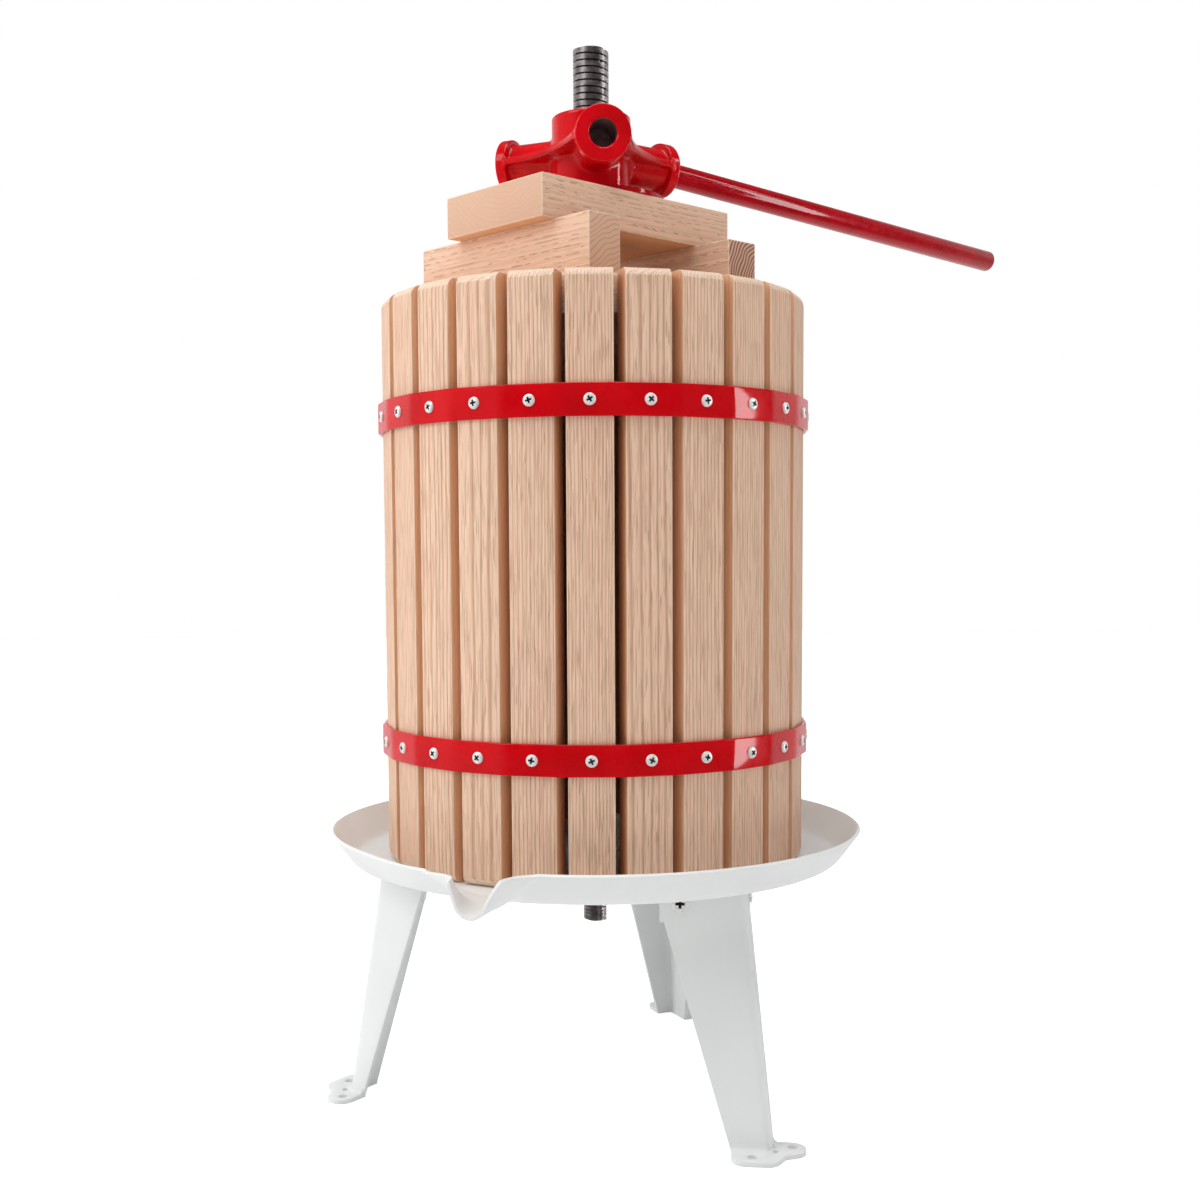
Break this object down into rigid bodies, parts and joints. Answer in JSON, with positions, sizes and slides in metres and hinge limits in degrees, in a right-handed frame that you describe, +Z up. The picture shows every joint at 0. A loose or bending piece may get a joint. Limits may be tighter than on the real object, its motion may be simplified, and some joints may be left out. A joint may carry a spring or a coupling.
{
  "type": "spindle fruit press",
  "caption": "Slatted wooden basket fruit press on a spouted tray with folded legs, with press boards driven down a central spindle by a cast nut and bar handle.",
  "frame": {"origin": "on the spindle's axis at floor level, the plane the three feet stand on", "axes": "+Z up the spindle, -Y towards the viewer of the picture, +X to the viewer's right; the pouring spout points 21 degrees left of -Y"},
  "size_m": [0.5368, 0.4569, 0.72],
  "materials": {
    "slat_wood": "planed, unfinished",
    "board_wood": "planed, unfinished",
    "red_paint": "gloss",
    "white_coating": "satin powder coat",
    "dark_oxide": "oiled dark oxide",
    "bright_zinc": "bright zinc plate"
  },
  "bodies": {
    "stand": {"tray": "white_coating", "right_leg": "white_coating", "rear_leg": "white_coating", "left_leg": "white_coating", "right_bracket": "white_coating", "rear_bracket": "white_coating", "left_bracket": "white_coating", "leg_screws": "bright_zinc", "spindle": "dark_oxide", "spindle_nuts": "bright_zinc"},
    "basket": {"slat_01": "slat_wood", "slat_02": "slat_wood", "slat_03": "slat_wood", "slat_04": "slat_wood", "slat_05": "slat_wood", "slat_06": "slat_wood", "slat_07": "slat_wood", "slat_08": "slat_wood", "slat_09": "slat_wood", "slat_10": "slat_wood", "slat_11": "slat_wood", "slat_12": "slat_wood", "slat_13": "slat_wood", "slat_14": "slat_wood", "slat_15": "slat_wood", "slat_16": "slat_wood", "slat_17": "slat_wood", "slat_18": "slat_wood", "slat_19": "slat_wood", "slat_20": "slat_wood", "slat_21": "slat_wood", "slat_22": "slat_wood", "slat_23": "slat_wood", "slat_24": "slat_wood", "slat_25": "slat_wood", "lower_hoop": "red_paint", "upper_hoop": "red_paint"},
    "press_pack": {"front_press_board": "board_wood", "back_press_board": "board_wood", "left_block": "board_wood", "right_block": "board_wood", "top_board": "board_wood", "thrust_plate": "red_paint"},
    "nut": {"cast_nut": "red_paint"},
    "handle": {"handle": "red_paint"}
  },
  "joints": [
    {"name": "basket_lift", "type": "slide", "parent": "stand", "child": "basket", "axis": [0, 0, 1], "range_m": [0, 0.03]},
    {"name": "press_travel", "type": "slide", "parent": "stand", "child": "press_pack", "axis": [0, 0, 1], "range_m": [-0.05, 0.04]},
    {"name": "nut_turn", "type": "hinge", "parent": "press_pack", "child": "nut", "pos_m": [0, 0, 0.6185], "axis": [0, 0, 1], "range_deg": [-4085, 3270]},
    {"name": "handle_out", "type": "slide", "parent": "nut", "child": "handle", "axis": [0.8073, 0.5865, -0.0655], "range_m": [0, 0.045]}
  ],
  "couplings": [
    {"joint": "press_travel", "follows": "nut_turn", "m_per_rad": 0.00070028}
  ]
}
